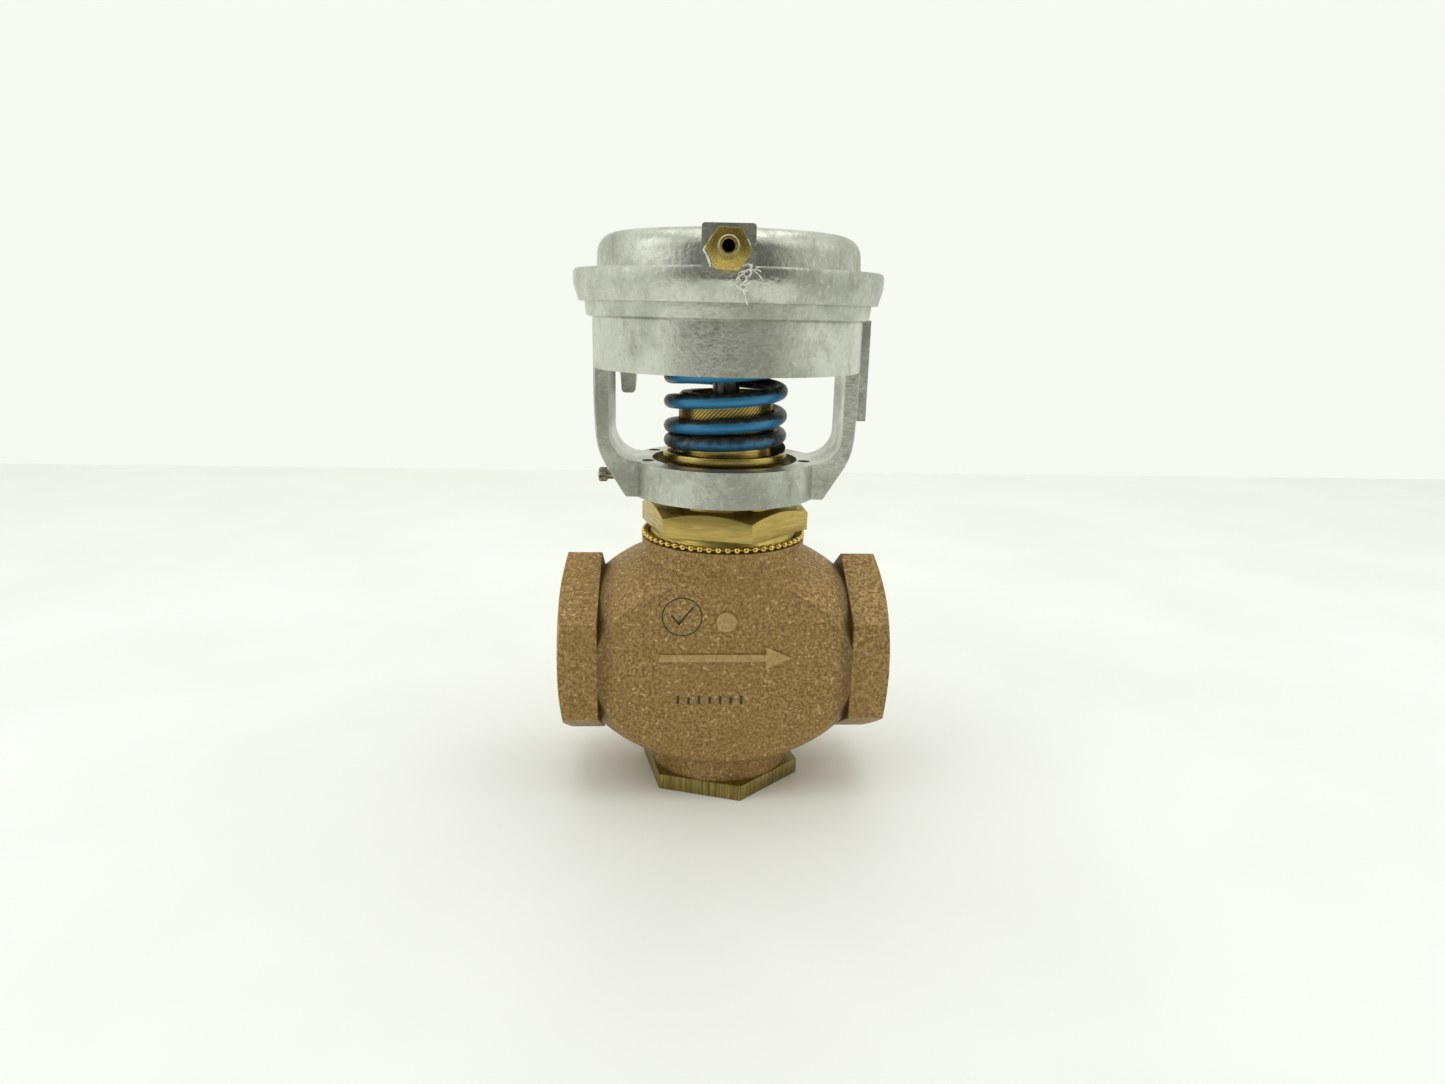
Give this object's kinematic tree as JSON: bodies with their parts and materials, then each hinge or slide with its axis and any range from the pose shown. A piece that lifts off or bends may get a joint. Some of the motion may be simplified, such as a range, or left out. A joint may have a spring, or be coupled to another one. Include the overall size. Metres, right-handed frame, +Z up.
{
  "type": "pneumatic globe control valve",
  "caption": "Screwed bronze globe control valve with hexagonal pipe ends, a brass bonnet and cap, and a spring-return pneumatic diaphragm actuator on an open aluminium yoke.",
  "frame": {"origin": "on the stem axis, in the underside of the bottom cap", "axes": "+X along the pipe to the outlet port, -Y towards the air inlet, +Z up the stem"},
  "size_m": [0.117, 0.1233, 0.1965],
  "materials": {
    "cast_bronze": "sand cast, rough",
    "machined_brass": "turned and milled",
    "die_cast_aluminium": "as cast, slightly mottled",
    "spring_steel": "dark wire with a blue paint stripe",
    "stainless_steel": "ground",
    "black_rubber": "moulded",
    "gasket_fibre": "plain",
    "white_ptfe": "plain",
    "chain_brass": "bright",
    "nickel_plate": "dull plated"
  },
  "bodies": {
    "valve": {"valve_body": "cast_bronze", "bottom_cap": "machined_brass", "cap_gasket": "gasket_fibre", "seat_ring": "stainless_steel", "bonnet": "machined_brass", "bonnet_gasket": "gasket_fibre", "guide_bush": "white_ptfe", "packing_spring": "stainless_steel", "packing_washer": "stainless_steel", "packing_rings": "white_ptfe", "packing_follower": "machined_brass", "packing_nut": "machined_brass", "stem_wiper": "black_rubber", "chain_beads": "chain_brass", "chain_links": "chain_brass", "chain_connector": "chain_brass", "yoke_nut": "machined_brass"},
    "actuator": {"yoke_housing": "die_cast_aluminium", "cover": "die_cast_aluminium", "diaphragm": "black_rubber", "seal_tape": "white_ptfe", "air_fitting": "machined_brass", "lock_screw": "nickel_plate"},
    "stem": {"valve_stem": "stainless_steel", "disc_holder": "machined_brass", "seal_disc": "black_rubber", "throttling_plug": "machined_brass", "piston": "die_cast_aluminium", "diaphragm_retainer": "stainless_steel", "piston_nut": "stainless_steel"},
    "spring_seat": {"spring_seat": "machined_brass", "return_spring": "spring_steel"},
    "adjuster": {"adjusting_sleeve": "machined_brass"}
  },
  "joints": [
    {"name": "actuator_swivel", "type": "hinge", "parent": "valve", "child": "actuator", "pos_m": [0, 0, 0.115], "axis": [0, 0, 1], "continuous": true},
    {"name": "stem_travel", "type": "slide", "parent": "actuator", "child": "stem", "axis": [0, 0, -1], "range_m": [0, 0.013], "stiffness_N_per_m": 18900, "springref_m": -0.0096, "deforming": ["return_spring", "diaphragm"]},
    {"name": "seat_lift", "type": "slide", "parent": "valve", "child": "spring_seat", "axis": [0, 0, 1], "range_m": [-0.00226, 0]},
    {"name": "adjuster_turn", "type": "hinge", "parent": "spring_seat", "child": "adjuster", "pos_m": [0, 0, 0.131], "axis": [0, 0, 1], "range_deg": [-540, 0]}
  ],
  "couplings": [
    {"joint": "seat_lift", "follows": "adjuster_turn", "m_per_rad": 0.00023873}
  ]
}
